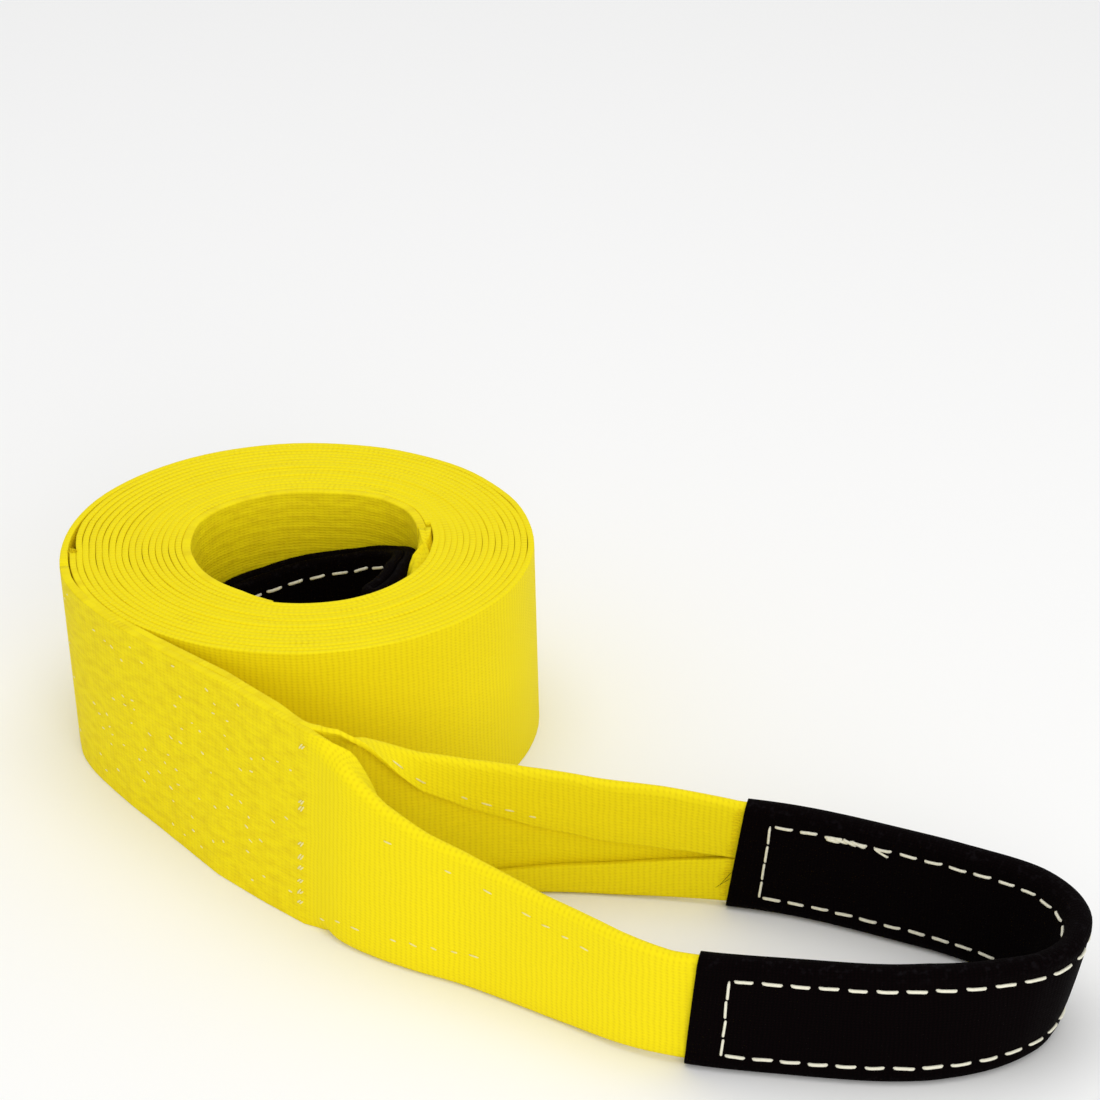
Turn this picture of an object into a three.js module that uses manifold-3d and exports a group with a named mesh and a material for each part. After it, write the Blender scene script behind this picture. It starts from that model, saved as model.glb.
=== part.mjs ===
// A tow strap: one long flat webbing wound on edge into a roll, with a folded loop eye at each
// end, and a black wear sleeve over the bend of each eye. Millimetres, +Z up.
import * as THREE from 'three';
import Module from 'manifold-3d';

// The webbing and the roll
const WEB_WIDTH = 50.8;
const WEB_THICKNESS = 1.6;
const TURN_PITCH = 1.64;
const PLAIN_TURNS = 14;
const BORE_RADIUS = 28.4;
const CORE_WRAP = 7.6;
const SELVAGE_DEPTH = 0.45;
const ROLL_SEGMENTS = 44;

// The stitched lap, where the webbing's end is sewn back on itself
const LAP_THICKNESS = 4.8;

// The loop eye, whose webbing is folded lengthwise to about half its width
const FOLD_LAYERS = 2;
const FOLD_SLACK = 0.4;
const FOLD_HEIGHT = 26.4;

// The wear sleeves
const SLEEVE_THICKNESS = 0.9;
const SLEEVE_CLEARANCE = 0.3;
const SLEEVE_LENGTH = 186;
const SLEEVE_START = 110;

// The inner eye, flattened against the wall of the bore
const INNER_SLEEVE_START = -22;
const INNER_SLEEVE_END = 168;
const INNER_TAIL = 34;
const INNER_SLOPE = 0.28;
const INNER_SLOPE_START_X = -22;

const foldThickness = FOLD_LAYERS * WEB_THICKNESS + FOLD_SLACK;
const rollRadius = BORE_RADIUS + CORE_WRAP + PLAIN_TURNS * TURN_PITCH;
const sleeveWall = SLEEVE_CLEARANCE + SLEEVE_THICKNESS;
const sleeveHeight = FOLD_HEIGHT + 2 * sleeveWall;

// Plan of the lap's outer face, from its cut end on the roll to the seam, from the roll's axis
const lapFace = [
  [-60.4, -8.0], [-59.3, -14.6], [-56.4, -22.4], [-52.0, -30.5], [-46.6, -39.2],
  [-40.2, -48.2], [-32.6, -58.2], [-22.6, -71.2], [-12.6, -83.6], [-2.3, -95.7],
];

// Plan of the eye's middle line: seam, front leg, tip, back leg and seam again
const eyeRoute = [
  [-4.6, -88.7], [-0.2, -94.6], [8.0, -105.4], [20.5, -115.6], [34.6, -124.6], [52.6, -138.8],
  [68.0, -151.6], [79.0, -157.4], [103.0, -163.2], [126.0, -167.0], [145.0, -165.4],
  [158.5, -158.9], [165.6, -146.6], [162.2, -133.6], [150.0, -122.4], [134.5, -112.6],
  [113.0, -101.0], [96.0, -95.0], [76.0, -89.9], [54.5, -86.4], [36.0, -86.6],
  [18.0, -91.0], [4.0, -92.6], [-4.0, -88.4],
];

// Height of the eye's webbing along X, as it folds from its full width at the seam
const foldTop = [[2, WEB_WIDTH], [10, 47], [20, 41], [30, 36.8], [43, 33.6], [60, 30.4]];
const FOLD_FINISHED_X = 76;

const { Manifold, Mesh: SolidMesh } = await Module().then((library) => {
  library.setup();
  return library;
});

// A three.js geometry as a manifold solid
function solidFrom(geometry) {
  const source = geometry.index ? geometry.toNonIndexed() : geometry;
  const position = source.getAttribute('position');
  const corners = Float32Array.from(position.array);
  const triangles = Uint32Array.from({ length: position.count }, (unused, i) => i);
  const mesh = new SolidMesh({ numProp: 3, vertProperties: corners, triVerts: triangles });
  mesh.merge();
  return new Manifold(mesh);
}

// A manifold solid as a three.js geometry
function geometryFrom(solid) {
  const mesh = solid.getMesh();
  const corners = [];
  for (const corner of mesh.triVerts) {
    const at = corner * mesh.numProp;
    corners.push(mesh.vertProperties[at], mesh.vertProperties[at + 1], mesh.vertProperties[at + 2]);
  }
  const geometry = new THREE.BufferGeometry();
  geometry.setAttribute('position', new THREE.Float32BufferAttribute(corners, 3));
  geometry.computeVertexNormals();
  return geometry;
}

// Points of a route, moved sideways to its left by the given offset
function sideways(points, offset) {
  return points.map((point, i) => {
    const before = points[Math.max(i - 1, 0)];
    const after = points[Math.min(i + 1, points.length - 1)];
    const along = after.clone().sub(before).normalize();
    return new THREE.Vector2(point.x - along.y * offset, point.y + along.x * offset);
  });
}

// Even points on a smooth route through the given stations
function evenPoints(stations, count) {
  const ends = stations.map(([x, y]) => new THREE.Vector3(x, y, 0));
  const curve = new THREE.CatmullRomCurve3(ends, false, 'centripetal');
  return curve.getSpacedPoints(count).map((point) => new THREE.Vector2(point.x, point.y));
}

// A full-width band between two offsets from a route, from its first to its last point
function band(points, left, right, first = 0, last = points.length - 1) {
  const leftSide = sideways(points, left).slice(first, last + 1);
  const rightSide = sideways(points, right).slice(first, last + 1);
  const shape = new THREE.Shape([...leftSide, ...rightSide.reverse()]);
  return solidFrom(new THREE.ExtrudeGeometry(shape, { depth: WEB_WIDTH, bevelEnabled: false }));
}

// A plate whose outline is drawn in X and Z, wide enough in Y to cut the whole eye
function sidePlate(outline) {
  const shape = new THREE.Shape(outline.map(([x, z]) => new THREE.Vector2(x, z)));
  const geometry = new THREE.ExtrudeGeometry(shape, { depth: 400, bevelEnabled: false });
  geometry.rotateX(Math.PI / 2);
  geometry.translate(0, 200, 0);
  return solidFrom(geometry);
}

// The roll: one turned solid with its bore, each plain turn a ridge on both ends
function rollSolid() {
  const profile = [new THREE.Vector2(BORE_RADIUS, 0)];
  const grooveRadius = (turn) => BORE_RADIUS + CORE_WRAP + turn * TURN_PITCH;
  profile.push(new THREE.Vector2(grooveRadius(0) - TURN_PITCH / 2, 0));
  for (let turn = 0; turn < PLAIN_TURNS; turn += 1) {
    profile.push(new THREE.Vector2(grooveRadius(turn), SELVAGE_DEPTH));
    profile.push(new THREE.Vector2(grooveRadius(turn) + TURN_PITCH / 2, 0));
  }
  profile.push(new THREE.Vector2(rollRadius, SELVAGE_DEPTH));
  const upper = profile.map((point) => new THREE.Vector2(point.x, WEB_WIDTH - point.y)).reverse();
  const outline = [...profile, ...upper, profile[0].clone()];
  const turned = new THREE.LatheGeometry(outline, ROLL_SEGMENTS);
  return solidFrom(turned.rotateX(Math.PI / 2));
}

// The even points of the eye's route, and the stretch of it that the sleeve covers
const EYE_POINTS = 120;
const eyePoints = evenPoints(eyeRoute, EYE_POINTS);
const eyeStep = eyePoints[0].distanceTo(eyePoints[1]);
const eyeMiddle = EYE_POINTS / 2;
const sleeveFirst = Math.round(SLEEVE_START / eyeStep);
const sleeveLast = sleeveFirst + Math.round(SLEEVE_LENGTH / eyeStep);

// The lap and the folded eye, standing beside the roll
function outerEnd() {
  const lap = band(evenPoints(lapFace, 22), 0, LAP_THICKNESS);
  const half = foldThickness / 2;
  const frontLeg = band(eyePoints, half, -half, 0, eyeMiddle);
  const backLeg = band(eyePoints, half, -half, eyeMiddle);
  const topInSleeve = FOLD_HEIGHT + sleeveWall;
  const foldReach = foldTop[foldTop.length - 1][0];
  const height = sidePlate([
    [-rollRadius, 0], [foldReach, 0], [FOLD_FINISHED_X, sleeveWall], [200, sleeveWall],
    [200, topInSleeve], [FOLD_FINISHED_X, topInSleeve], ...foldTop.slice().reverse(),
    [-rollRadius, WEB_WIDTH],
  ]);
  return Manifold.union([lap, Manifold.union(frontLeg, backLeg).intersect(height)]);
}

// A point about the roll's axis, at an angle in degrees, counter-clockwise from +X
function pointAt(radius, degrees) {
  const angle = THREE.MathUtils.degToRad(degrees);
  return new THREE.Vector2(radius * Math.cos(angle), radius * Math.sin(angle));
}

// Even points on an arc about the roll's axis
function arcPoints(radius, from, to, count) {
  const places = Array.from({ length: count + 1 }, (unused, i) => i / count);
  return places.map((share) => pointAt(radius, from + (to - from) * share));
}

// The inner eye follows the bore's wall, and its two tails run out into the wound turns
const innerRadius = BORE_RADIUS - SLEEVE_CLEARANCE - sleeveWall - foldThickness / 2;

function innerRoute() {
  const tailRadius = BORE_RADIUS + CORE_WRAP / 2;
  const before = pointAt(tailRadius, INNER_SLEEVE_START - INNER_TAIL);
  const after = pointAt(tailRadius, INNER_SLEEVE_END + INNER_TAIL);
  return [before, ...arcPoints(innerRadius, INNER_SLEEVE_START - 4, INNER_SLEEVE_END + 4, 34), after];
}

// The space between two heights that the inner eye's webbing or its sleeve takes up: level at
// the left, and rising to the right
function slant(bottom, top) {
  const reach = BORE_RADIUS + CORE_WRAP;
  const rise = INNER_SLOPE * (reach - INNER_SLOPE_START_X);
  return sidePlate([
    [-reach, bottom], [INNER_SLOPE_START_X, bottom], [reach, bottom + rise],
    [reach, top + rise], [INNER_SLOPE_START_X, top], [-reach, top],
  ]);
}

function innerEnd() {
  const half = foldThickness / 2;
  const web = band(innerRoute(), half, -half);
  return web.intersect(slant(sleeveWall, sleeveWall + FOLD_HEIGHT));
}

function webbing() {
  return Manifold.union([rollSolid(), outerEnd(), innerEnd()]);
}

// A sleeve: a flat tube round the folded webbing, open at both ends
function sleeveSolid(points, first, last, outerBounds, hollowBounds) {
  const outside = foldThickness / 2 + sleeveWall;
  const inside = foldThickness / 2 + SLEEVE_CLEARANCE;
  const tube = band(points, outside, -outside, first, last).intersect(outerBounds);
  const space = band(points, inside, -inside, first - 1, last + 1).intersect(hollowBounds);
  return tube.subtract(space);
}

function outerSleeve() {
  const slab = (bottom, top) => sidePlate([[0, bottom], [200, bottom], [200, top], [0, top]]);
  const hollow = slab(SLEEVE_THICKNESS, sleeveHeight - SLEEVE_THICKNESS);
  return sleeveSolid(eyePoints, sleeveFirst, sleeveLast, slab(0, sleeveHeight), hollow);
}

function innerSleeve() {
  const points = innerRoute();
  const hollow = slant(SLEEVE_THICKNESS, sleeveHeight - SLEEVE_THICKNESS);
  return sleeveSolid(points, 3, points.length - 4, slant(0, sleeveHeight), hollow);
}

const yellowWeb = new THREE.MeshStandardMaterial({ color: 0xf0e010, roughness: 0.75, metalness: 0 });
const blackWeb = new THREE.MeshStandardMaterial({ color: 0x0b0809, roughness: 0.8, metalness: 0 });

const group = new THREE.Group();

function addPiece(name, solid, material) {
  const mesh = new THREE.Mesh(geometryFrom(solid), material);
  mesh.name = name;
  group.add(mesh);
}

addPiece('webbing', webbing(), yellowWeb);
addPiece('outer_wear_sleeve', outerSleeve(), blackWeb);
addPiece('inner_wear_sleeve', innerSleeve(), blackWeb);

// The middle of the part's footprint goes to the origin
const box = new THREE.Box3().setFromObject(group);
group.position.set(-(box.min.x + box.max.x) / 2, -(box.min.y + box.max.y) / 2, 0);

export default group;
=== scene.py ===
# A tow strap: yellow webbing wound on edge, with a folded loop eye and a black wear sleeve at
# each end. Metres, +Z up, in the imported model's own frame.
import math
import random

import bpy
import numpy as np
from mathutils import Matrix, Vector


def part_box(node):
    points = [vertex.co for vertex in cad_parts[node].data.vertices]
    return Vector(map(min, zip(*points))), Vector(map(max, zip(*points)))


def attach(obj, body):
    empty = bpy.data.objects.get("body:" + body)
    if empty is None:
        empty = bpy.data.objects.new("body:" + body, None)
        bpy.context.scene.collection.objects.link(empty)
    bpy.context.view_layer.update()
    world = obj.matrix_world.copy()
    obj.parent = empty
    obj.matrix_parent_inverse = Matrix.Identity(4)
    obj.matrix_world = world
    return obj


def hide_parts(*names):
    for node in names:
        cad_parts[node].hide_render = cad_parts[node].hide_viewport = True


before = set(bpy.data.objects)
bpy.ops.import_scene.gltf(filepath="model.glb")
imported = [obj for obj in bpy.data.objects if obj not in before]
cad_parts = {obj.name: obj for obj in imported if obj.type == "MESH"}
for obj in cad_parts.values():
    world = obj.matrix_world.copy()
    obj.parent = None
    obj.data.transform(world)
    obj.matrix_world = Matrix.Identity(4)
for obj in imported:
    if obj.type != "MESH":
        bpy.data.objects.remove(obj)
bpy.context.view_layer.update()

MM = 0.001

# The webbing
WEB_WIDTH = 50.8 * MM
WEB_THICKNESS = 1.6 * MM
TURN_PITCH = 1.64 * MM
WARP_PITCH = 0.8 * MM
WEFT_PITCH = 1.4 * MM

# The roll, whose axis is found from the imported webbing's box
ROLL_RADIUS = 58.96 * MM
LAP_REACH = 60.4 * MM
WHOLE_TURNS = 16
ALL_TURNS = WHOLE_TURNS + 0.5
ROLL_LEAN = 1.2 * MM
LEAN_FADE = 30 * MM
web_low, web_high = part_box("webbing")
AXIS = np.array([web_low[0] + LAP_REACH, web_high[1] - ROLL_RADIUS])

# Angles about the roll's axis: where the turns are counted from, where the lap's outer ply goes
# over into them, where its inner ply is cut, and the inner lap's seam and cut end
ROLL_START_DEG = 221.0
OUTER_PLY_DEG = 187.5
PLY_CUT_DEG = 180.0
INNER_SEAM_DEG = 12.0
INNER_CUT_DEG = -105.0

# Steps of the lines that the webbing follows
OUTER_STEP = 1.6 * MM
ROLL_STEP_DEG = 4.0
INNER_STEP_DEG = 3.0

# The stitched lap of each end: two plies, drawn together by the rows of stitches
LAP_PLY = 2.3 * MM
LAP_GAP = 0.05 * MM
LAP_ROWS = 15
LAP_ROW_PITCH = 3.1 * MM
LAP_EDGE = 3.5 * MM
PLY_TAPER = 14 * MM
PLY_ON_ROLL = 40 * MM

# The folded eye of each end: webbing folded lengthwise, with the flaps inside the loop
OUTER_FOLD_PITCH = 2.0 * MM
INNER_FOLD_PITCH = 1.05 * MM
INNER_LAYER = 1.0 * MM
INNER_THINNING = (14 * MM, 40 * MM)
INNER_LIFT_LENGTH = 95 * MM
SEWN_EDGE = 2 * MM

# The wear sleeves
SLEEVE_HEIGHT = 28.8 * MM
SLEEVE_SKIN = 0.9 * MM
OUTER_SLEEVE_DEPTH = 6.0 * MM
INNER_SLEEVE_DEPTH = 3.05 * MM
INNER_SLEEVE_SKIN = 0.5 * MM
SLEEVE_LIFT = 1.1 * MM
SOFT_EDGE = 2.5 * MM
SOFT_EDGE_SHARE = 0.42
RIDGE_REACH = 3 * MM
SLANT_FADE = 40 * MM
CREASE_DEPTH = 0.22 * MM

# The sleeves' stitches, and how the cloth stands proud between two rows and dips at each
LOWER_ROW = 4.6 * MM
UPPER_ROW = 24.2 * MM
HEM_TO_STITCHES = 7.7 * MM
STITCH_PITCH = 6.1 * MM
STITCH_LENGTH = 4.7 * MM
CROSS_STITCHES = 4
CLOTH_PROUD = 0.15 * MM
ROW_DIP = 0.3 * MM
ROW_REACH = 1.3 * MM
TACK_STITCHES = 4
TACK_PITCH = 2.1 * MM
TACK_LENGTH = 3.6 * MM
TACK_TO_MOUTH = 34 * MM

# Threads and fibres
THREAD_RADIUS = 0.38 * MM
FINE_THREAD_RADIUS = 0.24 * MM
LEG_STITCH_PITCH = 5.2 * MM
FLUFF_FIBRES = 44
FRINGE_FIBRES = 34
FRINGE_START = 2.2 * MM
FRINGE_PITCH = 0.72 * MM
FRINGE_RADIUS = 0.09 * MM
FIBRE_RADIUS = 0.07 * MM

# The weave of the webbing and of the sleeves' cloth
SLEEVE_WARP_PITCH = 0.7 * MM
SLEEVE_WEFT_PITCH = 0.9 * MM
WARP_RIPPLE = 0.08 * MM
WARP_WANDER = 1.3 * MM
WEFT_WANDER = 0.9 * MM

# Colours
YELLOW = (0.90, 0.745, 0.003)
DEEP_YELLOW = (0.86, 0.70, 0.004)
# Painted shade: the yellow darkened where shade falls in the weave's gaps and the sewn pits
SHADED_GAP_YELLOW = (0.66, 0.47, 0.004)
# Painted shade: the black darkened where shade falls in the weave's gaps
SHADED_BLACK_GAP = (0.0007, 0.0002, 0.0003)
BLACK_CLOTH = (0.0022, 0.0005, 0.0008)
# Grey fluff and painted sheen on the sleeve's ridges, where they catch the light
BLACK_FLUFF_AND_SHEEN = (0.016, 0.014, 0.017)
WHITE = (1.0, 1.0, 1.0)
FLOOR_WHITE = (0.95, 0.95, 0.95)

# Plan of the lap's outer face in mm from the roll's axis, from the roll's left to the seam
LAP_FACE = [
    (-60.4, -8.0), (-59.3, -14.6), (-56.4, -22.4), (-52.0, -30.5), (-46.6, -39.2),
    (-40.2, -48.2), (-32.6, -58.2), (-22.6, -71.2), (-12.6, -83.6), (-2.3, -95.7),
]

# Plan of the outer eye's middle line, from the seam round the tip and back to the seam
EYE_ROUTE = [
    (8.0, -105.4), (20.5, -115.6), (34.6, -124.6), (52.6, -138.8),
    (68.0, -151.6), (79.0, -157.4), (103.0, -163.2), (126.0, -167.0), (145.0, -165.4),
    (158.5, -158.9), (165.6, -146.6), (162.2, -133.6), (150.0, -122.4), (134.5, -112.6),
    (113.0, -101.0), (96.0, -95.0), (76.0, -89.9), (54.5, -86.4), (36.0, -86.6),
    (18.0, -91.0),
]

# Places on that plan: the seam on each side, the sleeve's mouths and its tip
FRONT_SEAM = (-1.8, -94.8)
BACK_SEAM = (1.0, -92.5)
FRONT_MOUTH = (79.7, -157.6)
BACK_MOUTH = (96.8, -95.3)
EYE_TIP = (166.4, -146.0)
FRONT_MOUTH_SLANT = 2.6 * MM
BACK_MOUTH_SLANT = 4.2 * MM

# The folding of the outer eye, in mm and degrees: distance from the seam, height of the folded
# webbing, upper flap, lower flap, and how far each flap is turned over
OUTER_FOLDING = [
    (0, 50.8, 1.0, 1.0, 0), (5, 50.3, 1.5, 1.5, 30), (12, 46.8, 3.6, 2.2, 110),
    (24, 40.8, 7.6, 3.2, 172), (36, 36.8, 10.6, 4.2, 180), (50, 33.8, 12.8, 5.4, 180),
    (66, 31.2, 13.8, 6.8, 180), (82, 29.6, 13.8, 8.6, 180), (100, 27.0, 12.6, 10.6, 180),
]

# Radius that the bore gains or loses, in mm, by the angle about the roll's axis in degrees
BORE_SHAPE = [
    (-105, 0.8), (-87, 0.9), (-73, 1.2), (-42, 0.5), (-8, 0.4), (12, 1.6), (32, 3.3), (51, 3.2),
    (76, 0.9), (109, 1.1), (140, 1.4), (152, 1.3), (166, 0.3), (194, -0.6), (229, -0.4),
    (249, 0.3), (255, 0.8),
]

# How far the turns bulge out at the left, in mm by the angle: the outermost turn comes off the
# lap's outer ply, and the others lie inside the cut end of the lap's inner ply
FIRST_TURN_BULGE = [(60, 0.0), (80, 0.2), (120, 1.0), (150, 1.6), (187.5, 1.78)]
INNER_BULGE = [(60, 0.0), (80, 0.23), (120, 1.15), (150, 1.8), (163, 1.8), (173, 0.9), (179, 0.0)]
FIRST_BULGE_SPAN_DEG = 200.0
BULGED_TURNS = 9.0

# The inner eye by its angle, counted down from its seam: clearance from the wall to its outer
# leg, distance between its legs, its lift from the floor, and its step in past the seam
INNER_EYE = [
    (12, 0.9, 1.75, 0.0, 0.0), (-8, 0.9, 3.2, 0.0, 0.0), (-35, 0.9, 3.6, 0.0, 0.0),
    (-70, 0.7, 3.3, 0.0, 0.0), (-150, 0.7, 3.3, 0.0, 0.0), (-194, 1.1, 4.15, 0.5, 0.0),
    (-226, 1.1, 4.15, 1.9, 0.0), (-246, 1.1, 4.15, 2.2, 0.0), (-268, 1.1, 4.15, 4.2, 0.0),
    (-298, 1.1, 4.15, 7.0, 0.0), (-323, 1.1, 4.15, 11.0, 0.0), (-345, 1.1, 4.15, 16.0, 0.4),
    (-368, 1.1, 4.15, 17.5, 1.8), (-404, 1.1, 4.15, 17.0, 2.4),
]
INNER_SLEEVE_DEG = -194.0
INNER_TIP_DEG = -404.0

# The camera, from the roll's axis on the floor
CAMERA_PLACE = (0.0, -809.1 * MM, 464.9 * MM)
CAMERA_PITCH_DEG = 27.28
CAMERA_YAW_DEG = 4.39
FOCAL_PIXELS = 3600.0
PHOTO_PIXELS = 1100.0
SENSOR_MM = 36.0


# Lines in plan

def turn_right(along):
    return np.stack([along[:, 1], -along[:, 0]], axis=1)


def tangents(points):
    along = np.gradient(points, axis=0)
    return along / np.linalg.norm(along, axis=1)[:, None]


def lengths(points):
    steps = np.linalg.norm(np.diff(points, axis=0), axis=1)
    return np.concatenate([[0.0], np.cumsum(steps)])


def between(a, b, t_a, t_b, t):
    return ((t_b - t) * a + (t - t_a) * b) / (t_b - t_a)


def smooth_line(controls, per_span=16):
    """Dense points on a centripetal Catmull-Rom curve through the control points."""
    first = 2 * controls[0] - controls[1]
    last = 2 * controls[-1] - controls[-2]
    padded = np.vstack([first, controls, last])
    out = []
    for i in range(len(padded) - 3):
        p = padded[i:i + 4]
        chords = np.linalg.norm(np.diff(p, axis=0), axis=1) ** 0.5
        knots = np.concatenate([[0.0], np.cumsum(chords)])
        for t in np.linspace(knots[1], knots[2], per_span, endpoint=False):
            a = [between(p[k], p[k + 1], knots[k], knots[k + 1], t) for k in range(3)]
            b = [between(a[k], a[k + 1], knots[k], knots[k + 2], t) for k in range(2)]
            out.append(between(b[0], b[1], knots[1], knots[2], t))
    out.append(controls[-1])
    return np.array(out)


def even_line(points, step):
    at = lengths(points)
    count = int(round(at[-1] / step))
    even = np.linspace(0.0, at[-1], count + 1)
    return np.stack([np.interp(even, at, points[:, k]) for k in range(2)], axis=1)


def aside(points, offset):
    """Points moved to the right of their direction of travel."""
    return points + turn_right(tangents(points)) * offset


def nearest(points, place):
    return int(np.argmin(np.linalg.norm(points - np.asarray(place) * MM, axis=1)))


def polar(radius, degrees):
    angle = np.radians(degrees)
    return np.stack([radius * np.cos(angle), radius * np.sin(angle)], axis=-1)


def half_circle():
    """Even angles within a half circle, without its two ends."""
    return np.linspace(0.0, math.pi, 9)[1:-1]


def column(table, place, index):
    """One column of a table of rows, read at places along its first column."""
    rows = np.array(sorted(table), float)
    return np.interp(place, rows[:, 0], rows[:, index])


def soft_waves(distance, size, seed):
    """A seeded waviness of about one unit along a distance."""
    rng = random.Random(seed)
    total = np.zeros(np.shape(distance))
    for k in range(4):
        phase = rng.uniform(0, 2 * math.pi)
        rate = rng.uniform(0.6, 1.6) / size
        total += np.sin(2 * math.pi * distance * rate + phase) / (k + 1)
    return total / 2


class Path:
    """A line in plan that webbing stands on, with the leans of its foot and head outwards."""

    def __init__(self, points, side, foot=0.0, head=0.0, height=WEB_WIDTH, lift=0.0):
        ones = np.ones(len(points))
        self.points = points
        self.span = lengths(points)
        self.along = tangents(points)
        self.outward = turn_right(self.along) * side
        self.foot = foot * ones
        self.head = head * ones
        self.height = height * ones
        self.lift = lift * ones

    def read(self, values, distance):
        if values.ndim == 1:
            return np.interp(distance, self.span, values)
        return np.stack([np.interp(distance, self.span, values[:, k]) for k in range(2)], axis=-1)

    def place(self, distance, z, offset):
        """Points at distances along the line, heights, and offsets outwards from it."""
        distance = np.asarray(distance, float)
        beyond = distance - np.clip(distance, 0.0, self.span[-1])
        outward = self.read(self.outward, distance)
        outward /= np.linalg.norm(outward, axis=-1)[..., None]
        foot = self.read(self.foot, distance)
        head = self.read(self.head, distance)
        lean = foot + (head - foot) * z / self.read(self.height, distance)
        plan = self.read(self.points, distance) + self.read(self.along, distance) * beyond[..., None]
        plan = plan + outward * (offset + lean)[..., None]
        return np.concatenate([plan, (z + self.read(self.lift, distance))[..., None]], axis=-1)

    def spot(self, distance, z, offset):
        """One point, placed like the others."""
        return self.place(np.array([distance]), np.array([z]), np.array([offset]))[0]


# Meshes

def ring_faces(ring_count, ring_size, start=0, closed_ends=True):
    faces = []
    for i in range(ring_count - 1):
        for j in range(ring_size):
            k = (j + 1) % ring_size
            a = start + i * ring_size
            b = a + ring_size
            faces.append((a + j, a + k, b + k, b + j))
    if closed_ends:
        last = start + (ring_count - 1) * ring_size
        faces.append(tuple(start + j for j in reversed(range(ring_size))))
        faces.append(tuple(last + j for j in range(ring_size)))
    return faces


def mesh_piece(name, verts, faces, along=None, across=None, marks=None):
    """A mesh object, with distances along and across its cloth as its UVs."""
    mesh = bpy.data.meshes.new(name)
    mesh.from_pydata([tuple(v) for v in verts], [], faces)
    mesh.shade_smooth()
    if along is not None:
        corners = np.zeros(len(mesh.loops), int)
        mesh.loops.foreach_get("vertex_index", corners)
        layer = mesh.uv_layers.new(name="web")
        layer.data.foreach_set("uv", np.column_stack([along[corners], across[corners]]).ravel())
    if marks is not None:
        mesh.attributes.new("marks", "FLOAT", "POINT").data.foreach_set("value", marks)
    piece = bpy.data.objects.new(name, mesh)
    bpy.context.scene.collection.objects.link(piece)
    return piece


def to_frame(verts):
    """Moves points from the roll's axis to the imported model's frame, with the roll's lean."""
    verts = np.array(verts)
    past_roll = np.linalg.norm(verts[:, :2], axis=1) - ROLL_RADIUS
    in_roll = np.clip(1 - past_roll / LEAN_FADE, 0, 1)
    verts[:, 0] += ROLL_LEAN * (1 - verts[:, 2] / WEB_WIDTH) * in_roll
    verts[:, :2] += AXIS
    return verts


# The webbing's section, flat or folded lengthwise

EDGE_STEPS = (0.0, 0.1 * MM, 0.35 * MM)
EDGE_THICKNESS = (0.78, 0.94, 1.0)
FLAT_TURN_DEG = 0.1


def flat_section():
    """Middle points, normals and places across flat webbing, from its lower selvage."""
    edge = list(EDGE_STEPS)
    places = edge + list(np.linspace(edge[-1], WEB_WIDTH - edge[-1], 10)[1:-1])
    places = np.array(places + [WEB_WIDTH - d for d in reversed(edge)])
    points = np.stack([np.zeros_like(places), places], axis=1)
    return points, np.tile([1.0, 0.0], (len(places), 1)), places


def fold_rise(flap, turn, arc):
    """How far a fold and its flap stand above the end of the main panel."""
    radius = arc / turn
    if turn <= math.pi / 2:
        return radius * math.sin(turn) + flap * math.cos(turn)
    return radius


def folded_section(distance, thickness, pitch):
    """Middle points, normals and places across webbing folded as it is at a distance from
    the seam."""
    state = [column(OUTER_FOLDING, distance / MM, k) for k in range(1, 5)]
    height, high, low = (value * MM for value in state[:3])
    turn = math.radians(max(state[3], FLAT_TURN_DEG))
    arc = math.pi * pitch / 2
    skin = thickness / 2 * min(turn / (math.pi / 2), 1.0)
    main = height - 2 * skin - fold_rise(low, turn, arc) - fold_rise(high, turn, arc)
    main_low = skin + fold_rise(low, turn, arc)
    total = low + arc + main + arc + high
    edge = list(EDGE_STEPS)
    places = edge + list(np.linspace(edge[-1], low, 4)[1:-1])
    places += list(np.linspace(low, low + arc, 7))
    places += list(np.linspace(low + arc, low + arc + main, 10)[1:-1])
    places += list(np.linspace(total - high - arc, total - high, 7))
    places += list(np.linspace(total - high, total - edge[-1], 4)[1:-1])
    places += [total - d for d in reversed(edge)]
    middle = low + arc + main / 2
    points = []
    normals = []
    for place in places:
        side = 1.0 if place >= middle else -1.0
        reach = max(abs(place - middle) - main / 2, 0.0)
        on_arc = min(reach, arc)
        heading = turn * on_arc / arc
        radius = arc / turn
        in_loop = -radius * (1 - math.cos(heading)) - (reach - on_arc) * math.sin(heading)
        rise = radius * math.sin(heading) + (reach - on_arc) * math.cos(heading)
        from_middle = min(abs(place - middle), main / 2) + rise
        points.append((in_loop, main_low + main / 2 + side * from_middle))
        normals.append((math.cos(heading), side * math.sin(heading)))
    return np.array(points), np.array(normals), np.array(places)


def skin_ring(section, thickness):
    """A closed ring round a section: its outer skin up, then its inner skin down."""
    points, normals, places = section
    total = places[-1]
    from_edge = np.minimum(places, total - places)
    half = thickness / 2 * np.interp(from_edge, EDGE_STEPS, EDGE_THICKNESS)[:, None]
    ring = np.vstack([points + normals * half, (points - normals * half)[::-1]])
    across = np.concatenate([places, 2 * total - places[::-1]])
    return ring, across


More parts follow.
